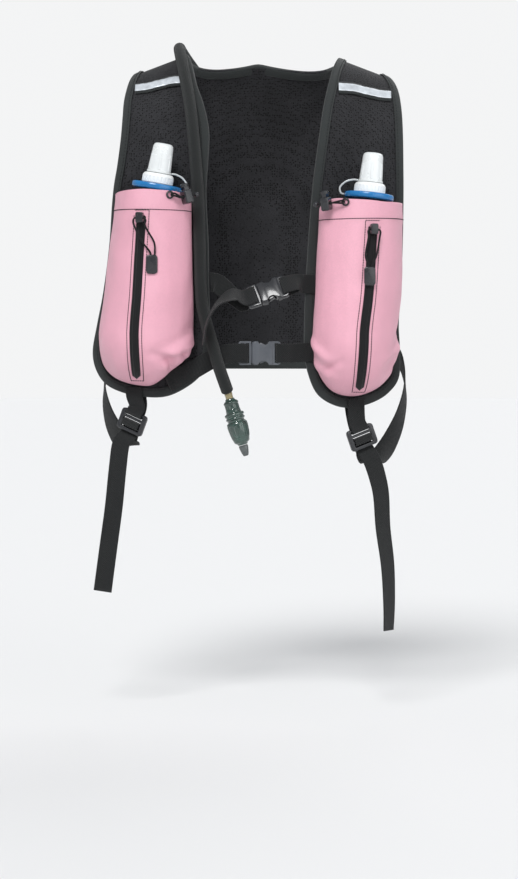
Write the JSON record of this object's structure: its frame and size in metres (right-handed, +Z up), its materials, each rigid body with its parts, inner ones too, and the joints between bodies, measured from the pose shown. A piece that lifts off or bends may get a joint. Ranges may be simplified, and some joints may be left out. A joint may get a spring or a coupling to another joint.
{
  "type": "hydration vest",
  "caption": "Running hydration vest in its worn form, with pink flask pockets, chest straps, side straps with hanging tails and a drinking hose with a bite valve.",
  "frame": {"origin": "the point between the shoulders at the height where the vest is carried", "axes": "+Z up, -Y out of the chest, +X to the wearer's left"},
  "size_m": [0.3433, 0.2854, 0.6358],
  "materials": {
    "spacer_mesh": "open black spacer mesh",
    "binding_tape": "ribbed black tape",
    "coated_fabric": "light pink coated fabric with a soft sheen",
    "webbing": "woven black webbing",
    "cord": "braided black elastic cord",
    "buckle_plastic": "moulded black plastic",
    "reflective_film": "silver reflective film",
    "clear_film": "soft clear film",
    "collar_plastic": "blue moulded plastic",
    "cap_plastic": "white moulded plastic",
    "hose_sleeve": "dark knitted sleeve",
    "valve_rubber": "grey-green translucent silicone"
  },
  "bodies": {
    "root": {"back_panel": "spacer_mesh", "binding_back": "binding_tape", "binding_front_left": "binding_tape", "binding_front_right": "binding_tape", "binding_neck": "binding_tape", "bite_valve_body": "valve_rubber", "bite_valve_tip": "hose_sleeve", "cinch_cord_left": "cord", "cinch_cord_right": "cord", "cord_end_ball_left": "buckle_plastic", "cord_end_ball_right": "buckle_plastic", "cord_lock_barrel_left": "buckle_plastic", "cord_lock_barrel_right": "buckle_plastic", "cover_tether_left": "clear_film", "cover_tether_right": "clear_film", "eyelet_left": "buckle_plastic", "eyelet_right": "buckle_plastic", "flask_body_left": "clear_film", "flask_body_right": "clear_film", "flask_cap_left": "cap_plastic", "flask_cap_right": "cap_plastic", "flask_collar_left": "collar_plastic", "flask_collar_right": "collar_plastic", "flask_cover_left": "cap_plastic", "flask_cover_right": "cap_plastic", "front_panel_left": "spacer_mesh", "front_panel_right": "spacer_mesh", "hem_tab_left": "webbing", "hem_tab_right": "webbing", "hose": "hose_sleeve", "ladder_lock_left": "buckle_plastic", "ladder_lock_right": "buckle_plastic", "lower_buckle_prong": "buckle_plastic", "lower_buckle_socket": "buckle_plastic", "lower_strap_left": "webbing", "lower_strap_right": "webbing", "pocket_left": "coated_fabric", "pocket_right": "coated_fabric", "reflective_band_left": "binding_tape", "reflective_band_right": "binding_tape", "reflective_tape_left": "reflective_film", "reflective_tape_right": "reflective_film", "reservoir": "clear_film", "reservoir_pocket": "spacer_mesh", "side_strap_left": "webbing", "side_strap_right": "webbing", "upper_buckle_prong": "buckle_plastic", "upper_buckle_socket": "buckle_plastic", "upper_strap_left": "webbing", "upper_strap_right": "webbing", "zip_pull_cord_left": "cord", "zip_pull_cord_right": "cord", "zip_pull_tab_left": "buckle_plastic", "zip_pull_tab_right": "buckle_plastic", "zip_slider_left": "buckle_plastic", "zip_slider_right": "buckle_plastic", "zip_tape_left": "binding_tape", "zip_tape_right": "binding_tape"},
    "plunger_right": {"cord_lock_plunger_right": "buckle_plastic"},
    "plunger_left": {"cord_lock_plunger_left": "buckle_plastic"}
  },
  "joints": [
    {"name": "cord_lock_right", "type": "slide", "parent": "root", "child": "plunger_right", "axis": [-0.2293, 0.0317, 0.9728], "range_m": [-0.003, 0], "stiffness_N_per_m": 120, "springref_m": 0.004},
    {"name": "cord_lock_left", "type": "slide", "parent": "root", "child": "plunger_left", "axis": [-0.1368, -0.1056, 0.9849], "range_m": [-0.003, 0], "stiffness_N_per_m": 120, "springref_m": 0.004}
  ]
}
